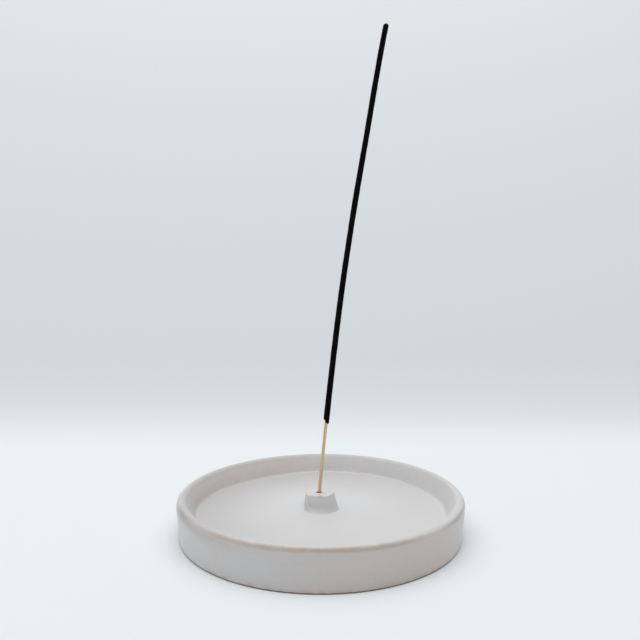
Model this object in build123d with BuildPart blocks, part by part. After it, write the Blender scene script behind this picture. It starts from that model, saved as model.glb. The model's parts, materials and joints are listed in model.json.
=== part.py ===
from build123d import *
import os
from math import cos, radians, sin, tan

# Incense stick holder: a thrown stoneware ash dish, a pierced clay boss luted to the middle of
# its floor, and one incense stick leaning in the boss's hole.
# Millimetres, +Z up. The origin is the middle of the dish's foot, on the table.

# Dish
dish_radius = 66.45
rim_width = 4.2
outer_wall_lean = 1.45  # how far the outer wall draws in from rim to foot
inner_wall_lean = 4.85  # how far the inner wall draws in from rim to floor
tray_depth = 8.4  # ash floor below the rim
floor_thickness = 6.4
recess_depth = 3.2  # turned out of the underside, inside the foot ring
foot_ring_width = 7.0
recess_wall_lean = 1.2
rim_outer_round = 2.7
rim_inner_round = 2.0
cove_round = 1.7
foot_outer_bevel = 0.8
foot_inner_bevel = 0.6

# Boss, pinched by hand: each ring sits a little to one side of the dish's axis
boss_skirt_height = 3.4
boss_neck_height = 4.2
boss_base_radius = 8.15
boss_waist_radius = 7.35
boss_top_radius = 6.45
boss_base_shift = 0.6
boss_waist_shift = -0.05
boss_top_shift = -0.25
boss_edge_round = 1.2
hole_shift = -0.9
hole_mouth_round = 0.4

# Incense stick: a bamboo splint with a rolled paste coat, leaning and slightly bowed
core_diameter = 1.6
bare_length = 40.7  # splint below the paste
coated_length = 183.0
tip_cover = 2.0  # paste past the splint's upper end
coat_thickness_low = 0.6
coat_thickness_tip = 0.45
tip_round = 1.05
coat_slant = 40.0  # degrees, the ragged lower end of the paste
coat_rings = 7  # rolled sections that the paste is lofted through
lean_angle = 4.95  # degrees from upright, in the hole
bow_radius = 2040.0

# Clearances
splint_clearance = 0.05  # between the leaning splint and the hole's wall
seat_clearance = 0.05  # between the splint's lower end and the floor

# Levels and fits that follow from the sizes above
floor_height = recess_depth + floor_thickness
dish_height = floor_height + tray_depth
foot_radius = dish_radius - outer_wall_lean
rim_inner_radius = dish_radius - rim_width
floor_radius = rim_inner_radius - inner_wall_lean
foot_inner_radius = foot_radius - foot_ring_width
recess_radius = foot_inner_radius - recess_wall_lean
boss_height = boss_skirt_height + boss_neck_height
boss_top = floor_height + boss_height
lean = radians(lean_angle)
core_radius = core_diameter / 2
hole_radius = (core_diameter / cos(lean) + boss_height * tan(lean)) / 2 + splint_clearance
stick_length = bare_length + coated_length
core_length = stick_length - tip_cover
coat_low_radius = core_radius + coat_thickness_low
coat_tip_radius = core_radius + coat_thickness_tip

# The splint crosses the hole's axis half way up the boss and rests on its lowest edge
lower_end_height = floor_height + seat_clearance + core_radius * sin(lean)
lower_end_x = hole_shift - (floor_height + boss_height / 2 - lower_end_height) * tan(lean)
seated_length = (boss_top - lower_end_height) / cos(lean)


def stick_lean(length):
    """Angle from upright, in radians, at this length up the stick."""
    return lean + max(length - seated_length, 0) / bow_radius


def stick_point(length):
    """Point of the stick's axis in the XZ plane: straight in the hole, an arc above it."""
    straight = min(length, seated_length)
    angle = stick_lean(length)
    x = lower_end_x + straight * sin(lean) + bow_radius * (cos(lean) - cos(angle))
    z = lower_end_height + straight * cos(lean) + bow_radius * (sin(angle) - sin(lean))
    return (x, z)


def stick_plane(length, tilt=0.0):
    """Plane square to the stick at this length, or tilted from square by some radians."""
    x, z = stick_point(length)
    angle = stick_lean(length) + tilt
    return Plane(origin=(x, 0, z), x_dir=(cos(angle), 0, -sin(angle)), z_dir=(sin(angle), 0, cos(angle)))


# Dish, turned about the Z axis
dish_corners = [
    (0, recess_depth),
    (recess_radius, recess_depth),
    (foot_inner_radius, 0),
    (foot_radius, 0),
    (dish_radius, dish_height),
    (rim_inner_radius, dish_height),
    (floor_radius, floor_height),
    (0, floor_height),
]
dish_rounds = {
    (dish_radius, dish_height): rim_outer_round,
    (rim_inner_radius, dish_height): rim_inner_round,
    (floor_radius, floor_height): cove_round,
}
dish_bevels = {
    (foot_inner_radius, 0): foot_inner_bevel,
    (foot_radius, 0): foot_outer_bevel,
}
with BuildPart() as dish:
    with BuildSketch(Plane.XZ) as dish_section:
        with BuildLine():
            Polyline(*dish_corners, close=True)
        make_face()
        for corner, round_radius in dish_rounds.items():
            fillet(dish_section.vertices().sort_by_distance(corner)[0], round_radius)
        for corner, bevel in dish_bevels.items():
            chamfer(dish_section.vertices().sort_by_distance(corner)[0], bevel)
    revolve(axis=Axis.Z)
dish.part.label = "dish"

# Boss, lofted through its base, waist and top, then pierced
boss_rings = [
    (floor_height, boss_base_radius, boss_base_shift),
    (floor_height + boss_skirt_height, boss_waist_radius, boss_waist_shift),
    (boss_top, boss_top_radius, boss_top_shift),
]
with BuildPart() as stick_boss:
    for height, radius, shift in boss_rings:
        with BuildSketch(Plane.XY.offset(height)):
            with Locations((shift, 0)):
                Circle(radius)
    loft()
    fillet(stick_boss.edges().group_by(Axis.Z)[-1], boss_edge_round)
    with Locations((hole_shift, 0, boss_top)):
        Hole(hole_radius)
    top_circles = stick_boss.edges().filter_by(GeomType.CIRCLE).group_by(Axis.Z)[-1]
    fillet(top_circles.sort_by(SortBy.RADIUS)[0], hole_mouth_round)
stick_boss.part.label = "stick_boss"

# Bamboo splint
with BuildPart() as bamboo_core:
    with BuildLine(Plane.XZ) as core_line:
        Line(stick_point(0), stick_point(seated_length))
        ThreePointArc(
            stick_point(seated_length),
            stick_point((seated_length + core_length) / 2),
            stick_point(core_length),
        )
    with BuildSketch(stick_plane(0)):
        Circle(core_radius)
    sweep(path=core_line.line)
bamboo_core.part.label = "bamboo_core"

# Incense paste: lofted up the stick to a rounded tip, bored by the splint, cut off slanting below
coat_loft_start = bare_length - 2 * coat_low_radius
coat_loft_length = stick_length - coat_loft_start
with BuildPart() as incense_coating:
    for ring in range(coat_rings):
        share = ring / (coat_rings - 1)
        with BuildSketch(stick_plane(coat_loft_start + share * coat_loft_length)):
            Circle(coat_low_radius + share * (coat_tip_radius - coat_low_radius))
    loft(ruled=True)
    fillet(incense_coating.edges().group_by(Axis.Z)[-1], tip_round)
    split(bisect_by=stick_plane(bare_length, tilt=radians(coat_slant)), keep=Keep.TOP)
    add(bamboo_core.part, mode=Mode.SUBTRACT)
incense_coating.part.label = "incense_coating"

os.makedirs("parts", exist_ok=True)
export_step(dish.part, "parts/dish.step")
export_step(stick_boss.part, "parts/stick_boss.step")
export_step(bamboo_core.part, "parts/bamboo_core.step")
export_step(incense_coating.part, "parts/incense_coating.step")
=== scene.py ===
import json
import math

import bpy
import numpy as np
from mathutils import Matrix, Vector, noise


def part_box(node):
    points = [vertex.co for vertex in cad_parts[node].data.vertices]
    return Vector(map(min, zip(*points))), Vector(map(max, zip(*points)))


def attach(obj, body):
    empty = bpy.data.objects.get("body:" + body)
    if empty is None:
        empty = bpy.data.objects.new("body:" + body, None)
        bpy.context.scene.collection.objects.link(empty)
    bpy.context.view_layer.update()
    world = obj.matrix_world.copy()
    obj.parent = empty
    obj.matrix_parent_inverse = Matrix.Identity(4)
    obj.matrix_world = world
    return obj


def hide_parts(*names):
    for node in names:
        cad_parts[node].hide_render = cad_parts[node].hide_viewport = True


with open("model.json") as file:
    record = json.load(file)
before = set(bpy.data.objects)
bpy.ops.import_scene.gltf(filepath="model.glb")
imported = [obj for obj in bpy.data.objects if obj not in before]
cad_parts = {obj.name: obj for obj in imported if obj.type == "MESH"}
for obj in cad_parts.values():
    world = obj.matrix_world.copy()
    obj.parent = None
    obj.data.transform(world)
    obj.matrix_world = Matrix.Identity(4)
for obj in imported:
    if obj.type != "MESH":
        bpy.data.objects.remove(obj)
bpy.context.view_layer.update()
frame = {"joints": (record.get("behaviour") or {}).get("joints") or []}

# Incense stick holder: the looks of a thrown stoneware dish, its pinched boss and a leaning stick.
# Metres, +Z up, the origin is the middle of the dish's foot. Angles turn from +X towards +Y.
MM = 0.001
TURN = 2 * math.pi

# Places and sizes read from the frame
dish_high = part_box("dish")[1]
boss_low, boss_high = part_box("stick_boss")
core_low, core_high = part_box("bamboo_core")
coat_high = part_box("incense_coating")[1]
lift_axis = frame["joints"][0]["axis"]
DISH_RADIUS = dish_high.x
DISH_HEIGHT = dish_high.z
FLOOR_HEIGHT = boss_low.z
BOSS_HEIGHT = boss_high.z - boss_low.z
CORE_RADIUS = core_high.y
COAT_LOW_RADIUS = coat_high.y
STICK_LEAN = math.atan2(lift_axis[0], lift_axis[2])
LOWER_END_X = core_low.x + CORE_RADIUS * math.cos(STICK_LEAN)
LOWER_END_Z = core_low.z + CORE_RADIUS * math.sin(STICK_LEAN)

# Sizes of the dish that its box doesn't give
HAND_ALLOWANCE = 0.03 * MM  # the uneven surface stays this far inside the true one
RIM_WIDTH = 4.2 * MM
OUTER_WALL_LEAN = 1.45 * MM
INNER_WALL_LEAN = 4.85 * MM
RECESS_DEPTH = 3.2 * MM
RECESS_WALL_LEAN = 1.2 * MM
FOOT_RING_WIDTH = 7.0 * MM
RIM_OUTER_ROUND = 2.7 * MM
RIM_INNER_ROUND = 2.0 * MM
COVE_ROUND = 1.7 * MM
FOOT_ROUND = 0.65 * MM
RECESS_ROUND = 1.5 * MM
RECESS_MIDDLE = 3.0 * MM  # the section starts this far from the axis, under the dish
FLOOR_MIDDLE = 2.0 * MM  # and ends this far from it, on the floor
GROOVE_INSET = 2.6 * MM  # from the floor's edge to a turning line on it
DISH_SEGMENTS = 384
ARC_STEPS = 11

# Sizes of the boss
BOSS_WAIST_HEIGHT = 3.4 * MM
BOSS_RADII = (8.15 * MM, 7.35 * MM, 6.45 * MM)  # base, waist, top
BOSS_SHIFTS = (0.6 * MM, -0.05 * MM, -0.25 * MM)  # to the right of the dish's axis, in the same order
BOSS_EDGE_ROUND = 0.85 * MM
BOSS_SUNK = 0.2 * MM  # the base's edge runs this far into the dish's floor
JOINT_HEIGHT = 1.0 * MM  # the front of the joint with the dish was smoothed over this height
HOLE_SHIFT = -0.9 * MM
HOLE_RADIUS = 1.18 * MM
MOUTH_SHIFT = -0.72 * MM  # the stick has worn the hole's mouth wider, to the side that it leans to
MOUTH_RADIUS = 1.48 * MM
MOUTH_DEPTH = 4.0 * MM
MOUTH_ROUND = 0.3 * MM
BOSS_SEGMENTS = 144
SIDE_RINGS = 30
EDGE_STEPS = 10
TOP_STEPS = 11
MOUTH_STEPS = 5
HOLE_STEPS = 13

# Sizes of the stick
BARE_LENGTH = 40.7 * MM
STICK_LENGTH = 223.7 * MM
TIP_COVER = 2.0 * MM  # of paste beyond the splint's upper end
TIP_DOME = 1.2 * MM
TIP_LOPSIDED = 0.08 * MM
COAT_TIP_RADIUS = 1.25 * MM
COAT_EDGE = 0.25 * MM  # the paste's lower edge is rounded off over this length
COAT_GAP = 0.01 * MM  # between the splint and the paste's bore
END_GAP = 0.05 * MM  # at the splint's end in the bore, and from the paste's tip to the full length
BOW_RADIUS = 2.04
CORE_SEGMENTS = 40
COAT_SEGMENTS = 44
CORE_BARE_STEP = 0.8 * MM
CORE_COVERED_STEP = 6 * MM
COAT_STEP = 0.42 * MM
BORE_RINGS = 12
DOME_STEPS = 11
DOME_SHARE = 0.96  # of the tip's quarter turn, up to its last ring


def unit(vector):
    return vector / np.linalg.norm(vector)


def full_turn(count):
    """Angles all the way round, as one row."""
    return np.linspace(0, TURN, count, endpoint=False)[None, :]


def steps(count):
    """Equal steps up to 1, without the 0 that they start from."""
    return np.linspace(0, 1, count + 1)[1:]


def bell(distance, width):
    """1 where the distance is nothing, falling smoothly away over about this width."""
    return np.exp(-(distance / width) ** 2)


def ease(value, low, high):
    """0 up to low, 1 from high on, and a smooth step between them."""
    share = np.clip((value - low) / (high - low), 0, 1)
    return share * share * (3 - 2 * share)


def beside(angle, degrees, reach):
    """1 in a direction, falling smoothly away to both sides over about this reach, both in degrees."""
    return bell((np.degrees(angle) - degrees + 180) % 360 - 180, reach)


def lumps(points, size, seed):
    """Smooth unevenness from -1 to 1 at each point, with lumps of about this size."""
    offset = Vector((seed, 2 * seed, 3 * seed))
    flat = [noise.noise(Vector(point) / size + offset) for point in points.reshape(-1, 3)]
    return np.array(flat).reshape(points.shape[:-1])


def around_axis(angle, radius, height):
    """Points at these angles, radii and heights about the Z axis."""
    flat = radius * np.cos(angle)
    return np.stack([flat, radius * np.sin(angle), np.broadcast_to(height, flat.shape)], axis=-1)


def arc_points(middle, start, end):
    """Points of the arc about a middle, from start to end."""
    first = start - middle
    last = end - middle
    opening = math.acos(unit(first) @ unit(last))
    points = []
    for share in np.linspace(0, 1, ARC_STEPS):
        reach = first * math.sin((1 - share) * opening) + last * math.sin(share * opening)
        points.append(middle + reach / math.sin(opening))
    return points


def rounded_section(corners):
    """Points along a section. A corner is (radius, height, rounding, spacing on the run up to it)."""
    points = [np.array(corners[0][:2])]
    for number in range(1, len(corners)):
        place = np.array(corners[number][:2])
        rounding, spacing = corners[number][2:]
        arc = [place]
        if rounding:
            back = unit(np.array(corners[number - 1][:2]) - place)
            ahead = unit(np.array(corners[number + 1][:2]) - place)
            half_angle = math.acos(back @ ahead) / 2
            middle = place + unit(back + ahead) * rounding / math.sin(half_angle)
            reach = rounding / math.tan(half_angle)
            arc = arc_points(middle, place + back * reach, place + ahead * reach)
        start = points[-1]
        run = arc[0] - start
        count = max(int(np.linalg.norm(run) / spacing), 1)
        points += [start + run * step / count for step in range(1, count)]
        points += arc
    return np.array(points)


def put_in_scene(name, data):
    """A new object with this data, in the scene."""
    made = bpy.data.objects.new(name, data)
    bpy.context.scene.collection.objects.link(made)
    return made


def ring_piece(name, rings, closed=False, **fields):
    """Mesh object from rings of points, each joined to the next. Open ends close on a middle point.

    A field is a value for each point, kept in the mesh for its material.
    """
    count, around = rings.shape[:2]
    index = np.arange(count * around).reshape(count, around)
    points = list(rings.reshape(-1, 3))
    faces = []
    for ring in range(count if closed else count - 1):
        low = index[ring]
        high = index[(ring + 1) % count]
        for place in range(around):
            after = (place + 1) % around
            faces.append((low[place], low[after], high[after], high[place]))
    if not closed:
        first, last = len(points), len(points) + 1
        points += [rings[0].mean(axis=0), rings[-1].mean(axis=0)]
        for place in range(around):
            after = (place + 1) % around
            faces.append((first, index[0][after], index[0][place]))
            faces.append((last, index[-1][place], index[-1][after]))
    mesh = bpy.data.meshes.new(name)
    mesh.from_pydata([tuple(point) for point in points], [], [tuple(map(int, face)) for face in faces])
    mesh.polygons.foreach_set("use_smooth", [True] * len(mesh.polygons))
    for field, values in fields.items():
        kind, part, width = ("FLOAT_VECTOR", "vector", 3) if values.ndim == 3 else ("FLOAT", "value", 1)
        flat = np.broadcast_to(values, rings.shape[:2] + values.shape[2:]).reshape(-1, width)
        if not closed:
            flat = np.concatenate([flat, flat[[0, -around]]])
        mesh.attributes.new(field, kind, "POINT").data.foreach_set(part, flat.astype(np.float32).ravel())
    return put_in_scene(name, mesh)


# Dish: turned section, then thrown, uneven and nicked by hand
rounded_off = OUTER_WALL_LEAN * RIM_OUTER_ROUND / DISH_HEIGHT  # the rim's sharp corner lies this far outside
wall_radius = DISH_RADIUS + rounded_off - HAND_ALLOWANCE
rim_height = DISH_HEIGHT - HAND_ALLOWANCE
foot_radius = wall_radius - OUTER_WALL_LEAN
foot_inner_radius = foot_radius - FOOT_RING_WIDTH
rim_inner_radius = wall_radius - RIM_WIDTH
floor_radius = rim_inner_radius - INNER_WALL_LEAN
groove_radius = floor_radius - GROOVE_INSET
dish_section = rounded_section([
    (RECESS_MIDDLE, RECESS_DEPTH, 0, 3.0 * MM),
    (foot_inner_radius - RECESS_WALL_LEAN, RECESS_DEPTH, RECESS_ROUND, 2.4 * MM),
    (foot_inner_radius, 0, FOOT_ROUND, 0.6 * MM),
    (foot_radius, 0, FOOT_ROUND, 1.2 * MM),
    (wall_radius, rim_height, RIM_OUTER_ROUND, 0.6 * MM),
    (rim_inner_radius, rim_height, RIM_INNER_ROUND, 0.4 * MM),
    (floor_radius, FLOOR_HEIGHT, COVE_ROUND, 0.5 * MM),
    (FLOOR_MIDDLE, FLOOR_HEIGHT, 0, 1.3 * MM),
])
section_step = np.linalg.norm(np.diff(dish_section, axis=0), axis=1)
section_path = np.concatenate([[0], np.cumsum(section_step)])[:, None]
section_tangent = np.gradient(dish_section, axis=0)
section_tangent /= np.linalg.norm(section_tangent, axis=1)[:, None]
outward = section_tangent[:, 1:]
upward = -section_tangent[:, :1]
dish_radius = dish_section[:, :1]
dish_height = dish_section[:, 1:]
dish_angle = full_turn(DISH_SEGMENTS)
true_points = around_axis(dish_angle, dish_radius, dish_height)

# Shares of the section: 1 in a part of it and 0 elsewhere, some with soft ends
from_crest = section_path - section_path[np.argmax(dish_section[:, 1])]
foot_corner = np.argmin(np.abs(dish_section - (foot_radius, 0)).sum(axis=1))
inside = (from_crest > 0).astype(float)
glazed = (section_path > section_path[foot_corner]).astype(float)
outer_wall = glazed * (1 - inside)
inner_wall = inside * ease(dish_radius, floor_radius - 2 * MM, floor_radius + 0.5 * MM)
outer_floor = ease(dish_radius, 20 * MM, 52 * MM)
standing = ease(dish_height, 0.2 * MM, 2.5 * MM)  # the foot's face stays flat on the table
below_rim = rim_height - dish_height

# Small marks of the hand: how far the surface stands proud of the true one
THROW_PITCH = 2.7 * MM
THROW_DEPTH = 0.012 * MM
throwing = THROW_DEPTH * np.sin(TURN * section_path / THROW_PITCH + dish_angle)
throwing = throwing * (0.6 + 0.6 * lumps(true_points, 22 * MM, 3.1))
peel = 0.035 * MM * lumps(true_points, 9 * MM, 1.7) + 0.01 * MM * lumps(true_points, 2.6 * MM, 5.3)
groove = 0.06 * MM * bell(dish_radius - groove_radius, 0.6 * MM) * inside
proud = (throwing * glazed + peel - groove) * standing

# Rim nicks: angle in degrees, radius, size and depth
RIM_NICKS = (
    (17.7, 63.7 * MM, 1.0 * MM, 0.30 * MM),
    (20.5, 63.0 * MM, 0.8 * MM, 0.18 * MM),
    (7.8, 64.2 * MM, 0.9 * MM, 0.22 * MM),
    (50.4, 63.0 * MM, 1.3 * MM, 0.15 * MM),
    (132.1, 63.6 * MM, 0.7 * MM, 0.20 * MM),
    (332.3, 65.6 * MM, 0.9 * MM, 0.25 * MM),
)
for degrees, radius, size, depth in RIM_NICKS:
    nick_place = around_axis(math.radians(degrees), radius, rim_height)
    proud = proud - depth * bell(np.linalg.norm(true_points - nick_place, axis=2), size)

# Larger marks of the hand: not quite round, low at the far left, and turned a little off-centre inside
OFF_CENTRE = 0.3 * MM  # the inside lies this far to the right of the outside
out_of_round = 0.03 * MM * (np.cos(2 * dish_angle + 0.7) + 0.5 * np.cos(3 * dish_angle + 2.1) - 1.5)
rim_sag = 0.03 * MM * (np.cos(3 * dish_angle + 1.0) - 1) - 0.35 * MM * beside(dish_angle, 125, 50)
low_floor = 1.05 * MM * beside(dish_angle, 124, 26) * outer_floor
steep_wall = 0.65 * MM * beside(dish_angle, 186, 13) * outer_floor
depth_share = inside * below_rim / (rim_height - FLOOR_HEIGHT)
dish_points = around_axis(
    dish_angle,
    dish_radius + outward * proud + out_of_round * dish_radius / wall_radius,
    dish_height + upward * proud + rim_sag * (dish_height / rim_height) ** 3 - depth_share * low_floor,
)
dish_points[..., 0] += OFF_CENTRE * inside * ease(below_rim, 1 * MM, 7 * MM) - depth_share * steep_wall


def from_section_point(radius, height):
    """How far the dish's section lies from a point in its plane."""
    return np.hypot(dish_radius - radius, dish_height - height)


def banded(*bands):
    """Sum of bands around the dish. A band is a share of the section, and spots along it.

    A spot is an angle and a reach, both in degrees, and a strength.
    """
    total = 0.0
    for across, spots in bands:
        for degrees, reach, strength in spots:
            total = total + strength * across * beside(dish_angle, degrees, reach)
    return total


# Glaze: where it breaks to tan or fires warm, where it is greyed by painted shade or darker on the crest,
# and where the clay is bare
RIM_BREAKS = [(206, 9, 0.5), (236, 12, 0.4), (257, 13, 0.7), (276, 11, 0.8), (294, 12, 0.45)]
SHADE_SIDE = math.radians(145)  # where the painted shade lies deepest inside
rim_outer_edge = from_section_point(wall_radius - 1.0 * MM, rim_height - 0.6 * MM)
rim_inner_edge = from_section_point(rim_inner_radius + 0.4 * MM, rim_height - 0.4 * MM)
rim_lower_edge = from_section_point(wall_radius - 0.45 * MM, rim_height - 1.15 * MM)
shoulder = from_section_point(wall_radius - 0.4 * MM, rim_height - 1.5 * MM)
mottle = lumps(true_points, 5 * MM, 7.9)
rim_break = np.clip(0.15 + banded((1.0, RIM_BREAKS)), 0, 1.1)
glaze_break = bell(rim_outer_edge, 1.1 * MM) * rim_break * (1.05 + 0.2 * mottle)
glaze_break = glaze_break + 0.15 * bell(rim_inner_edge, 0.8 * MM) * (0.8 + mottle)
glaze_break = glaze_break + outer_wall * bell(dish_height, 2.1 * MM) * (0.36 + 0.3 * mottle)
warmth = banded(
    (outer_wall * (1.15 - 0.85 * dish_height / rim_height), [(302, 36, 1.0)]),
    (inner_wall, [(132, 34, 1.3)]),
    (bell(rim_outer_edge, 3 * MM), [(240, 45, 0.5)]),
)
# Painted shade: the floor darkens towards the wall, most at the back left, and less up the inner wall
# towards the crest
floor_shade = 0.44 + 0.36 * np.cos(dish_angle - SHADE_SIDE) - 0.16 * beside(dish_angle, 130, 28)
floor_shade = floor_shade * (1 - inner_wall * (0.85 - 0.5 * ease(below_rim, 1.5 * MM, 7 * MM)))
floor_shade = floor_shade * ease(from_crest, -0.6 * MM, 0.6 * MM) * ease(dish_radius, 18 * MM, 56 * MM)
# Painted shade in the turning line's groove
groove_shade = 0.12 * bell(dish_radius - groove_radius, 0.9 * MM) * inside
# Grey over the glaze: the painted shade above; the crest darker at the back, left and right; painted shade
# on the inner wall at the left and back right, along the rim's lower edge at the front and sides, and on the
# shoulder at the front left
thin_glaze = floor_shade + groove_shade + banded(
    (bell(from_crest, 2.0 * MM), [(94, 48, 0.75), (205, 28, 0.4), (332, 14, 0.12)]),
    (inner_wall, [(172, 30, 0.4), (30, 28, 0.2)]),
    (bell(rim_lower_edge, 0.7 * MM), [(295, 19, 1.0), (332, 12, 1.44), (246, 16, 0.48)]),
    (bell(rim_lower_edge, 1.5 * MM), [(206, 9, 0.7)]),
    (bell(shoulder, 3.0 * MM), [(221, 17, 0.55)]),
)
dish = ring_piece(
    "dish_thrown",
    dish_points,
    glaze_break=glaze_break,
    warmth=warmth,
    thin_glaze=thin_glaze,
    bare_clay=np.maximum(1 - glazed, 1 - ease(dish_height, 0.4 * MM, 0.9 * MM)),
)


# Boss: a pinched, pared lump of clay with its hole
def through_three(height, values):
    """Smooth value at a height up the boss, through those of its base, waist and top."""
    low = (values[1] - values[0]) / BOSS_WAIST_HEIGHT
    high = (values[2] - values[1]) / (BOSS_HEIGHT - BOSS_WAIST_HEIGHT)
    bend = (high - low) / BOSS_HEIGHT
    return values[0] + low * height + bend * height * (height - BOSS_WAIST_HEIGHT)


# A station is a height above the floor, a radius and a shift from the dish's axis
edge_height = BOSS_HEIGHT - BOSS_EDGE_ROUND
edge_radius = through_three(edge_height, BOSS_RADII) - BOSS_EDGE_ROUND
mouth_edge = MOUTH_RADIUS + MOUTH_ROUND
boss_stations = [
    (height, through_three(height, BOSS_RADII), through_three(height, BOSS_SHIFTS))
    for height in np.linspace(-BOSS_SUNK, edge_height, SIDE_RINGS)
]
for bend in math.pi / 2 * steps(EDGE_STEPS):
    boss_stations.append((
        edge_height + BOSS_EDGE_ROUND * math.sin(bend),
        edge_radius + BOSS_EDGE_ROUND * math.cos(bend),
        BOSS_SHIFTS[2],
    ))
for share in steps(TOP_STEPS):
    boss_stations.append((
        BOSS_HEIGHT,
        edge_radius + share * (mouth_edge - edge_radius),
        BOSS_SHIFTS[2] + share * (MOUTH_SHIFT - BOSS_SHIFTS[2]),
    ))
for bend in math.pi / 2 * steps(MOUTH_STEPS):
    boss_stations.append((
        BOSS_HEIGHT - MOUTH_ROUND * (1 - math.cos(bend)),
        mouth_edge - MOUTH_ROUND * math.sin(bend),
        MOUTH_SHIFT,
    ))
for height in np.linspace(BOSS_HEIGHT - MOUTH_ROUND, -BOSS_SUNK, HOLE_STEPS + 1)[1:]:
    worn = ease(height, BOSS_HEIGHT - MOUTH_DEPTH, BOSS_HEIGHT)
    boss_stations.append((
        height,
        HOLE_RADIUS + worn * (MOUTH_RADIUS - HOLE_RADIUS),
        HOLE_SHIFT + worn * (MOUTH_SHIFT - HOLE_SHIFT),
    ))
station_height, station_radius, station_shift = np.array(boss_stations).T[:, :, None]
boss_angle = full_turn(BOSS_SEGMENTS)
boss_true = around_axis(boss_angle, station_radius, station_height)

# Marks of the hand, which fade from the boss's outer side to its true hole
hand_share = ease(station_radius, 2.2 * MM, 5.0 * MM)
above_floor = np.maximum(station_height, 0)
near_floor = bell(above_floor, 2.2 * MM)
seam = 211 + 16 * (1 - above_floor / BOSS_HEIGHT) ** 2  # degrees: it runs down to the front
ridge = (0.3 + 0.4 * near_floor) * MM * beside(boss_angle, seam, 3.6 + 3.0 * near_floor)
crease = -0.2 * MM * beside(boss_angle, seam - 9, 4.5) * (1 - near_floor)
fold = -0.3 * MM * beside(boss_angle, 241, 8) * bell(above_floor, 1.7 * MM)
smoothed = np.exp(-above_floor / JOINT_HEIGHT) - 1 + ease(station_height, 1.5 * MM, 6.5 * MM)
joint_flare = 1.2 * MM * beside(boss_angle, 252, 44) * smoothed
right_bulge = 0.25 * MM * beside(boss_angle, 355, 30) * bell(station_height - 4.5 * MM, 2 * MM)
left_bulge = 0.36 * MM * beside(boss_angle, 188, 26) * ease(station_height, 0.3 * MM, 2.5 * MM)
facets = 0.12 * MM * np.cos(5 * boss_angle + 0.6) * (0.6 + 0.4 * np.cos(boss_angle - 4.4))
pared_front = -1.5 * MM * beside(boss_angle, 262, 50) * ease(station_height, 2.5 * MM, 7.5 * MM)
pinched = 0.16 * MM * lumps(boss_true, 4.2 * MM, 2.3) + 0.04 * MM * lumps(boss_true, 1.5 * MM, 8.3)
marks = ridge + crease + fold + joint_flare + right_bulge + left_bulge + facets + pared_front + pinched
front_dip = -0.15 * MM * beside(boss_angle, 294, 16) * ease(station_radius, 3.0 * MM, 5.6 * MM)
left_dip = -0.35 * MM * beside(boss_angle, 195, 26) * ease(station_radius, 4.4 * MM, 6.2 * MM)
slope = -0.08 * MM * (1 - np.cos(boss_angle)) / 2
top_lumps = 0.07 * MM * (lumps(boss_true, 2.4 * MM, 4.4) - 0.5)
top_share = ease(station_height, 0.5 * BOSS_HEIGHT, BOSS_HEIGHT) * hand_share
boss_points = around_axis(
    boss_angle,
    station_radius + hand_share * marks,
    FLOOR_HEIGHT + station_height + top_share * (front_dip + left_dip + slope + top_lumps),
)
boss_points[..., 0] += station_shift
top_edge = bell(station_height - (BOSS_HEIGHT - 0.4 * MM), 0.8 * MM) * hand_share
below_edge = hand_share * (1 - ease(station_height, 6.5 * MM, 7.5 * MM))
in_hole = (station_radius < mouth_edge - 0.1 * MM).astype(float)
deep = ease(BOSS_HEIGHT - station_height, 1.2 * MM, 2.6 * MM)  # the glaze runs in at the hole's mouth
boss = ring_piece(
    "boss_pinched",
    boss_points,
    closed=True,
    glaze_break=top_edge * (0.1 + 0.4 * beside(boss_angle, 266, 14)),
    warmth=0.15 * top_edge,
    # painted shade on the boss's right-front side
    thin_glaze=0.2 * below_edge * beside(boss_angle, 292, 42),
    bare_clay=in_hole * deep,
)

# Stick: straight in its hole, bowed above it
SEATED_LENGTH = (FLOOR_HEIGHT + BOSS_HEIGHT - LOWER_END_Z) / math.cos(STICK_LEAN)


def stick_points(length, radius, around, sideways=0.0):
    """Points about the stick's axis, at these lengths from its lower end and these radii."""
    straight = np.minimum(length, SEATED_LENGTH)
    lean = STICK_LEAN + np.maximum(length - SEATED_LENGTH, 0) / BOW_RADIUS
    wander = 0.35 * MM * bell(length - 172 * MM, 26 * MM) - 0.12 * MM * bell(length - 97 * MM, 18 * MM)
    side = radius * np.cos(around) + sideways + wander
    x = LOWER_END_X + straight * math.sin(STICK_LEAN) + BOW_RADIUS * (math.cos(STICK_LEAN) - np.cos(lean))
    z = LOWER_END_Z + straight * math.cos(STICK_LEAN) + BOW_RADIUS * (np.sin(lean) - math.sin(STICK_LEAN))
    return np.stack([x + side * np.cos(lean), radius * np.sin(around), z - side * np.sin(lean)], axis=-1)


# Bamboo splint: split, so not quite round, with fine ridges along it
# A station is a length from the stick's lower end and a share of the radius
core_length = STICK_LENGTH - TIP_COVER
bare_lengths = np.arange(CORE_BARE_STEP, BARE_LENGTH + 4 * MM, CORE_BARE_STEP)
covered_lengths = np.arange(BARE_LENGTH + 8 * MM, core_length - 4 * MM, CORE_COVERED_STEP)
core_stations = [(0.0, 0.5), (0.0, 0.88), (0.05 * MM, 0.97), (0.14 * MM, 1.0)]
core_stations += [(length, 1.0) for length in (*bare_lengths, *covered_lengths)]
core_stations += [(core_length - 0.1 * MM, 1.0), (core_length, 0.9)]
core_at, core_share = np.array(core_stations).T[:, :, None]
core_around = full_turn(CORE_SEGMENTS)
core_grain = around_axis(core_around, CORE_RADIUS * core_share, core_at)
split = 0.025 * (1 + np.cos(3 * core_around + 0.9 + 9 * core_at))
ridges = 0.012 * (1 + np.cos(13 * core_around + 2 * np.sin(60 * core_at)))
knots = 0.015 * (1 + lumps(core_grain * (1, 1, 0.12), 0.5 * MM, 6.1))
core_radius = CORE_RADIUS * core_share * (1 - split - ridges - knots)
core = ring_piece("bamboo_splint", stick_points(core_at, core_radius, core_around), grain=core_grain)
core.data.set_sharp_from_angle(angle=math.radians(50))

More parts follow.
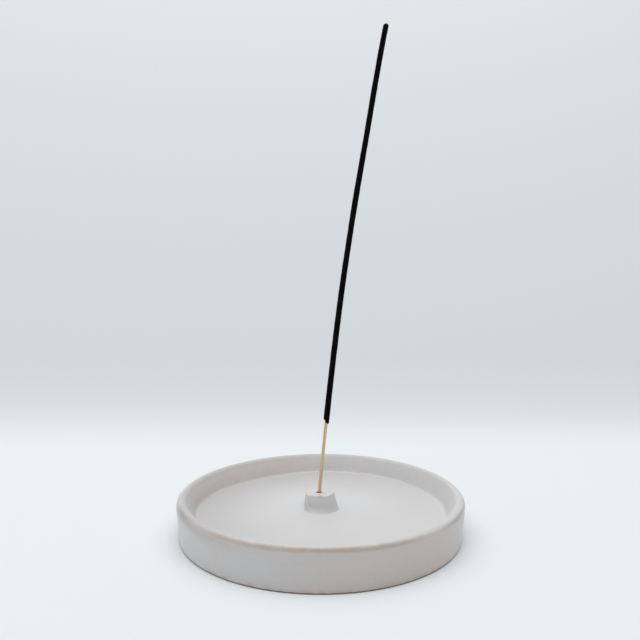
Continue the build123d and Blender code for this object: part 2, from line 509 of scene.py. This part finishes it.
# Incense paste: rolled on by hand, lumpy, with a stepped lower end and a blunt tip
coat_around = full_turn(COAT_SEGMENTS)
rightness = np.cos(coat_around)
end_step = (1.25 - 1.35 * ease(rightness, -0.55, -0.15) - 0.4 * ease(rightness, -0.1, 1.0)) * MM
ragged = 0.16 * MM * np.sin(7 * coat_around + 0.5) * np.sin(3 * coat_around + 1.0)
coat_start = BARE_LENGTH + end_step + ragged
dome_start = STICK_LENGTH - TIP_DOME - END_GAP


def coat_ring(length, radius, sideways=0.0):
    """One ring of the paste: lengths from the stick's lower end, radii and shifts to the side."""
    return [np.broadcast_to(value, coat_around.shape)[0] for value in (length, radius, sideways)]


coat_rings = []
for share in np.linspace(0, 1, BORE_RINGS):
    length = core_length + END_GAP + share * (coat_start - core_length)
    coat_rings.append(coat_ring(length, CORE_RADIUS + COAT_GAP))
even_steps = np.arange(0.6 * MM, dome_start - BARE_LENGTH, COAT_STEP)
for step in (0.0, 0.08 * MM, COAT_EDGE, *even_steps):
    share = step / even_steps[-1]
    full = min(0.86 + 0.14 * step / COAT_EDGE, 1)
    radius = full * (COAT_LOW_RADIUS + share * (COAT_TIP_RADIUS - COAT_LOW_RADIUS))
    coat_rings.append(coat_ring(coat_start + share * (dome_start - coat_start), radius))
for bend in DOME_SHARE * math.pi / 2 * steps(DOME_STEPS):
    lopsided = TIP_LOPSIDED * math.sin(bend) * (rightness - 1)
    length = dome_start + TIP_DOME * math.sin(bend) + lopsided * math.cos(bend)
    sideways = TIP_LOPSIDED * math.sin(bend) ** 2
    coat_rings.append(coat_ring(length, COAT_TIP_RADIUS * math.cos(bend), sideways))
coat_at, coat_radius, coat_sideways = np.array(coat_rings).transpose(1, 0, 2)
coat_grain = around_axis(coat_around, coat_radius, coat_at)
rolled = 0.05 * lumps(coat_grain * (1, 1, 0.5), 1.6 * MM, 9.2) + 0.028 * lumps(coat_grain, 0.55 * MM, 1.3)
swell = 0.03 * lumps(coat_grain * (0, 0, 1), 11 * MM, 3.7)
coat_radius[BORE_RINGS:] *= (1 + rolled + swell)[BORE_RINGS:]
coat_points = stick_points(coat_at, coat_radius, coat_around, coat_sideways)
coat = ring_piece("paste_coat", coat_points, grain=coat_grain)
coat.data.set_sharp_from_angle(angle=math.radians(60))


# Materials
def node(tree, kind, inputs, **settings):
    """Adds a shader node. An input given as another node's output is linked, any other value is set."""
    made = tree.nodes.new(kind)
    for name, value in settings.items():
        setattr(made, name, value)
    for name, value in inputs.items():
        if isinstance(value, bpy.types.NodeSocket):
            tree.links.new(value, made.inputs[name])
        else:
            made.inputs[name].default_value = value
    return made


def calculate(tree, operation, *values):
    return node(tree, "ShaderNodeMath", dict(enumerate(values)), operation=operation).outputs[0]


def label(tree, name, output="Fac"):
    """A field of the mesh, by its name."""
    return node(tree, "ShaderNodeAttribute", {}, attribute_name=name).outputs[output]


def refit(tree, value, low, high, new_low, new_high):
    """Maps a range of values onto another, held at its ends."""
    inputs = {"Value": value, "From Min": low, "From Max": high, "To Min": new_low, "To Max": new_high}
    return node(tree, "ShaderNodeMapRange", inputs).outputs["Result"]


def blend_colour(tree, share, first, second):
    """First colour where the share is 0, second where it is 1."""
    inputs = {0: share}
    for place, value in ((6, first), (7, second)):  # the mix node's two colours
        inputs[place] = value if isinstance(value, bpy.types.NodeSocket) else (*value, 1)
    return node(tree, "ShaderNodeMix", inputs, data_type="RGBA").outputs[2]


def tinted(tree, colour, mask, low, high, most, tint):
    """A colour with a tint: none where the mask is low, and a share of at most this where it is high."""
    return blend_colour(tree, refit(tree, mask, low, high, 0, most), colour, tint)


def cloud(tree, place, size, detail=3.0, stretch=(1, 1, 1)):
    """Noise with features of about this size in metres, drawn out along the axes with a large stretch."""
    scale = tuple(1 / size / share for share in stretch)
    mapped = node(tree, "ShaderNodeMapping", {"Vector": place, "Scale": scale}).outputs["Vector"]
    inputs = {"Vector": mapped, "Scale": 1.0, "Detail": detail}
    return node(tree, "ShaderNodeTexNoise", inputs).outputs["Fac"]


def new_material(name):
    """A new material, its node tree and its shader."""
    material = bpy.data.materials.new(name)
    material.use_nodes = True
    return material, material.node_tree, material.node_tree.nodes["Principled BSDF"]


def finish_surface(tree, shader, colour, roughness, relief, strength, depth):
    """Links a shader to its colour, its roughness and the bump of a relief."""
    bump = node(tree, "ShaderNodeBump", {"Height": relief, "Strength": strength, "Distance": depth})
    tree.links.new(colour, shader.inputs["Base Color"])
    tree.links.new(roughness, shader.inputs["Roughness"])
    tree.links.new(bump.outputs["Normal"], shader.inputs["Normal"])


# Colours of the pieces
GLAZE_PALE = (0.69, 0.69, 0.695)
GLAZE_WARM = (0.69, 0.625, 0.575)
# Grey for painted shade on the glaze, and the crest's darker tone
GLAZE_GREY_SHADE = (0.48, 0.46, 0.455)
GLAZE_STREAK = (0.6, 0.585, 0.58)
GLAZE_MILKY = (0.76, 0.76, 0.765)
GLAZE_TAN = (0.42, 0.325, 0.265)
GLAZE_SPECK = (0.42, 0.36, 0.31)
# Bare clay, painted darker than the fired clay: partly painted shade under the foot's rounding and down the
# hole
CLAY_SHADED_DARK = (0.165, 0.13, 0.108)
CLAY_SHADED_LIGHT = (0.25, 0.207, 0.175)
BAMBOO_BROWN = (0.6, 0.405, 0.21)
BAMBOO_STRAW = (0.98, 0.77, 0.5)
BAMBOO_FIBRE = (1.0, 0.86, 0.6)
BAMBOO_LOW_END = (0.7, 0.455, 0.2)
BAMBOO_BLOTCH = (0.62, 0.43, 0.22)
BAMBOO_HOLE_SHADE = (0.17, 0.12, 0.08)
PASTE_BLACK = (0.0014, 0.0014, 0.0015)
PASTE_POWDER = (0.0036, 0.0036, 0.0034)
PASTE_SMEAR = (0.007, 0.0066, 0.0062)
PASTE_SHINE = 0.05


def glaze_material():
    """Satin pale glaze: cloudy, streaked round the wall, tan where it breaks, grey with painted shade, and
    clay, partly painted darker as shade, where it is wiped off.
    """
    material, tree, shader = new_material("stoneware_glaze")
    place = node(tree, "ShaderNodeTexCoord", {}).outputs["Object"]
    broad = cloud(tree, place, 30 * MM)
    fine = cloud(tree, place, 2.4 * MM, 5.0)
    grit = cloud(tree, place, 0.35 * MM, 2.0)
    streak = cloud(tree, place, 2.0 * MM, 3.0, (20, 20, 1))
    warm = calculate(tree, "ADD", label(tree, "warmth"), refit(tree, broad, 0.35, 0.7, -0.1, 0.2))
    broken = calculate(tree, "ADD", label(tree, "glaze_break"), refit(tree, fine, 0.3, 0.7, -0.12, 0.12))
    bare = calculate(tree, "MULTIPLY_ADD", fine, 0.3, label(tree, "bare_clay"))
    bare = refit(tree, bare, 0.55, 0.75, 0, 1)
    colour = blend_colour(tree, warm, GLAZE_PALE, GLAZE_WARM)
    # The grey is mostly painted shade, and a darker tone on the crest
    colour = blend_colour(tree, label(tree, "thin_glaze"), colour, GLAZE_GREY_SHADE)
    colour = tinted(tree, colour, streak, 0.42, 0.68, 0.15, GLAZE_STREAK)
    colour = tinted(tree, colour, fine, 0.45, 0.75, 0.16, GLAZE_MILKY)
    colour = tinted(tree, colour, broken, 0.12, 1.0, 0.95, GLAZE_TAN)
    colour = tinted(tree, colour, grit, 0.7, 0.74, 0.4, GLAZE_SPECK)
    # bare clay, partly painted shade
    clay = blend_colour(tree, grit, CLAY_SHADED_DARK, CLAY_SHADED_LIGHT)
    colour = blend_colour(tree, bare, colour, clay)
    satin = refit(tree, fine, 0.3, 0.7, 0.34, 0.46)
    rough = calculate(tree, "MAXIMUM", satin, calculate(tree, "MULTIPLY", bare, 0.88))
    skin = calculate(tree, "MULTIPLY", fine, 0.6)
    skin = calculate(tree, "MULTIPLY_ADD", grit, 0.25, skin)
    skin = calculate(tree, "MULTIPLY_ADD", streak, 0.35, skin)
    finish_surface(tree, shader, colour, rough, skin, 0.25, 0.08 * MM)
    return material


def bamboo_material():
    """Raw split bamboo: pale straw with brown bundles of fibre drawn out along the stick, and painted shade
    where it goes into the hole.
    """
    material, tree, shader = new_material("bamboo_split")
    grain = label(tree, "grain", "Vector")
    bundles = cloud(tree, grain, 0.5 * MM, 3.0, (1, 1, 26))
    fibres = cloud(tree, grain, 0.16 * MM, 3.0, (1, 1, 40))
    blotches = cloud(tree, grain, 5 * MM, 2.0)
    length = node(tree, "ShaderNodeSeparateXYZ", {"Vector": grain}).outputs["Z"]
    low_end = refit(tree, length, 8 * MM, 30 * MM, 0.85, 0)
    # Painted shade on the splint where it goes into the hole
    hole_shade = refit(tree, length, SEATED_LENGTH - 0.2 * MM, SEATED_LENGTH + 0.5 * MM, 0.75, 0)
    colour = tinted(tree, BAMBOO_BROWN, bundles, 0.38, 0.62, 1.0, BAMBOO_STRAW)
    colour = tinted(tree, colour, fibres, 0.4, 0.65, 0.55, BAMBOO_FIBRE)
    colour = blend_colour(tree, low_end, colour, BAMBOO_LOW_END)
    colour = tinted(tree, colour, blotches, 0.45, 0.75, 0.35, BAMBOO_BLOTCH)
    colour = blend_colour(tree, hole_shade, colour, BAMBOO_HOLE_SHADE)
    rough = refit(tree, fibres, 0.3, 0.7, 0.48, 0.68)
    finish_surface(tree, shader, colour, rough, fibres, 0.4, 0.03 * MM)
    return material


def paste_material():
    """Dry black paste of charcoal and wood powder, dull and grainy."""
    material, tree, shader = new_material("charcoal_paste")
    grain = label(tree, "grain", "Vector")
    powder = cloud(tree, grain, 0.22 * MM, 5.0)
    smears = cloud(tree, grain, 0.9 * MM, 3.0, (1, 1, 4))
    colour = tinted(tree, PASTE_BLACK, powder, 0.4, 0.7, 1.0, PASTE_POWDER)
    colour = tinted(tree, colour, smears, 0.55, 0.75, 0.5, PASTE_SMEAR)
    rough = refit(tree, smears, 0.3, 0.7, 0.9, 0.68)
    shader.inputs["Specular IOR Level"].default_value = PASTE_SHINE
    finish_surface(tree, shader, colour, rough, powder, 0.6, 0.06 * MM)
    return material


glaze = glaze_material()
dressing = (
    (dish, glaze, "dish", "holder", "glazed_stoneware"),
    (boss, glaze, "stick_boss", "holder", "glazed_stoneware"),
    (core, bamboo_material(), "bamboo_core", "incense_stick", "bamboo"),
    (coat, paste_material(), "incense_coating", "incense_stick", "incense_paste"),
)
for piece, material, cad_node, body, slot in dressing:
    piece.data.materials.append(material)
    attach(piece, body)
    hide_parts(cad_node)

# Stage: a pale paper sweep that turns up behind the dish
SWEEP_HALF_WIDTH = 1.6
SWEEP_FRONT = -1.5
SWEEP_BEND_START = 0.22
SWEEP_BEND_RADIUS = 0.09
SWEEP_SLOPE = math.radians(60)
SWEEP_RISE = 1.0
FADE_START = 0.13  # from the table's tone to the backdrop's
FADE_END = 0.305
FADE_STEPS = 10
BEND_STEPS = 25
BACKDROP_TOP = 0.9  # share of the table's tone at the backdrop's upper edge
sweep_line = [(SWEEP_FRONT, 0.0)]
sweep_line += [(y, 0.0) for y in np.linspace(FADE_START, SWEEP_BEND_START, FADE_STEPS, endpoint=False)]
for bend in np.linspace(0, SWEEP_SLOPE, BEND_STEPS):
    sweep_line.append((
        SWEEP_BEND_START + SWEEP_BEND_RADIUS * math.sin(bend),
        SWEEP_BEND_RADIUS * (1 - math.cos(bend)),
    ))
bend_end_y, bend_end_z = sweep_line[-1]
sweep_line.append((bend_end_y + SWEEP_RISE / math.tan(SWEEP_SLOPE), bend_end_z + SWEEP_RISE))
sweep_points = [(side * SWEEP_HALF_WIDTH, y, z) for y, z in sweep_line for side in (-1, 1)]
sweep_faces = [(2 * row, 2 * row + 1, 2 * row + 3, 2 * row + 2) for row in range(len(sweep_line) - 1)]
table_share = [float(1 - ease(y, FADE_START, FADE_END)) for x, y, z in sweep_points]
table_share[-2:] = [BACKDROP_TOP, BACKDROP_TOP]
sweep_mesh = bpy.data.meshes.new("paper_sweep")
sweep_mesh.from_pydata(sweep_points, [], sweep_faces)
sweep_mesh.polygons.foreach_set("use_smooth", [True] * len(sweep_faces))
sweep_mesh.attributes.new("table", "FLOAT", "POINT").data.foreach_set("value", table_share)

# Paper: its colour as it lights the dish, and those that are seen, where the rest of its look is glow
PAPER_TRUE = (0.84, 0.845, 0.85)
PAPER_BACKDROP = (0.21, 0.228, 0.243)
PAPER_TABLE = (0.365, 0.385, 0.405)
PAPER_AT_FOOT = (0.76, 0.797, 0.825)
PAPER_GLOW = 0.5  # of the paper's look, which thins the shadows on it as in the photograph
FOOT_GLOW = 0.08  # the same close to the dish's foot, where the photograph's shadow is deep
GLOW_COLOUR = (0.94, 0.98, 1, 1)
PAPER_ROUGHNESS = 0.9
PAPER_SHINE = 0.1
FOOT_SHADOW_REACH = 24 * MM
FOOT_SHADOW_SHAPE = (1, 1.3, 1)  # it ends sooner in front and behind than at the sides


def seen_rays(tree):
    """1 for the rays that show the stage to the camera, straight or by way of a surface."""
    path = node(tree, "ShaderNodeLightPath", {}).outputs
    seen = calculate(tree, "MAXIMUM", path["Is Camera Ray"], path["Is Glossy Ray"])
    return calculate(tree, "MAXIMUM", seen, path["Is Transmission Ray"])


def paper_material():
    """Pale paper, darker up the backdrop, that glows a little except close to the dish's foot."""
    material, tree, shader = new_material("paper")
    place = node(tree, "ShaderNodeTexCoord", {}).outputs["Object"]
    place = node(tree, "ShaderNodeMapping", {"Vector": place, "Scale": FOOT_SHADOW_SHAPE}).outputs["Vector"]
    reach = node(tree, "ShaderNodeVectorMath", {0: place}, operation="LENGTH").outputs["Value"]
    near_foot = refit(tree, reach, DISH_RADIUS, DISH_RADIUS + FOOT_SHADOW_REACH, 1, 0)
    camera_ray = node(tree, "ShaderNodeLightPath", {}).outputs["Is Camera Ray"]
    near_foot = calculate(tree, "MULTIPLY", near_foot, camera_ray)
    seen = seen_rays(tree)
    colour = blend_colour(tree, label(tree, "table"), PAPER_BACKDROP, PAPER_TABLE)
    colour = blend_colour(tree, near_foot, colour, PAPER_AT_FOOT)
    colour = blend_colour(tree, seen, PAPER_TRUE, colour)
    glow = calculate(tree, "MULTIPLY", refit(tree, near_foot, 0, 1, PAPER_GLOW, FOOT_GLOW), seen)
    tree.links.new(colour, shader.inputs["Base Color"])
    tree.links.new(glow, shader.inputs["Emission Strength"])
    shader.inputs["Emission Color"].default_value = GLOW_COLOUR
    shader.inputs["Roughness"].default_value = PAPER_ROUGHNESS
    shader.inputs["Specular IOR Level"].default_value = PAPER_SHINE
    return material


sweep = put_in_scene("paper_sweep", sweep_mesh)
sweep_mesh.materials.append(paper_material())

# Light: one large soft lamp overhead, low soft panels at the sides and in front, and a dim surround
DISH_MIDDLE = (0, 0, 0.02)
SOFT_LAMPS = (  # name, place, aim, width and height, power in watts
    ("overhead", (-0.06, 0.0, 1.0), (-0.06, 0.0, 0), (1.5, 1.3), 10.3),
    ("left_panel", (-1.0, 0.3, 0.3), DISH_MIDDLE, (0.9, 0.5), 1.2),
    ("right_panel", (1.0, 0.3, 0.3), DISH_MIDDLE, (0.9, 0.5), 0.4),
    ("front_panel", (-0.05, -1.2, 0.45), DISH_MIDDLE, (1.2, 0.7), 0.95),
)
SURROUND_COLOUR = (0.75, 0.755, 0.76, 1)
SURROUND_LIGHT = 0.285
for name, place, aim, size, power in SOFT_LAMPS:
    light = bpy.data.lights.new(name, "AREA")
    light.shape = "RECTANGLE"
    light.size, light.size_y = size
    light.energy = power
    lamp = put_in_scene(name, light)
    lamp.location = place
    lamp.rotation_euler = (Vector(aim) - Vector(place)).to_track_quat("-Z", "Y").to_euler()
world = bpy.data.worlds.new("surround")
bpy.context.scene.world = world
world.use_nodes = True
background = world.node_tree.nodes["Background"]
background.inputs["Color"].default_value = SURROUND_COLOUR
surround = refit(world.node_tree, seen_rays(world.node_tree), 0, 1, SURROUND_LIGHT, 1)
world.node_tree.links.new(surround, background.inputs["Strength"])

# Camera at the photograph's angle
CAMERA_PLACE = (0, -295.06 * MM, 116.29 * MM)
CAMERA_DOWN = math.radians(3.554)
CAMERA_TURN = math.radians(0.058)
SENSOR_WIDTH = 36.0
LENS = 36.06
camera_data = bpy.data.cameras.new("camera")
camera_data.sensor_width = SENSOR_WIDTH
camera_data.lens = LENS
camera = put_in_scene("camera", camera_data)
camera.location = CAMERA_PLACE
camera.rotation_euler = (math.pi / 2 - CAMERA_DOWN, 0, CAMERA_TURN)
bpy.context.scene.camera = camera
bpy.context.scene.view_settings.view_transform = "Standard"
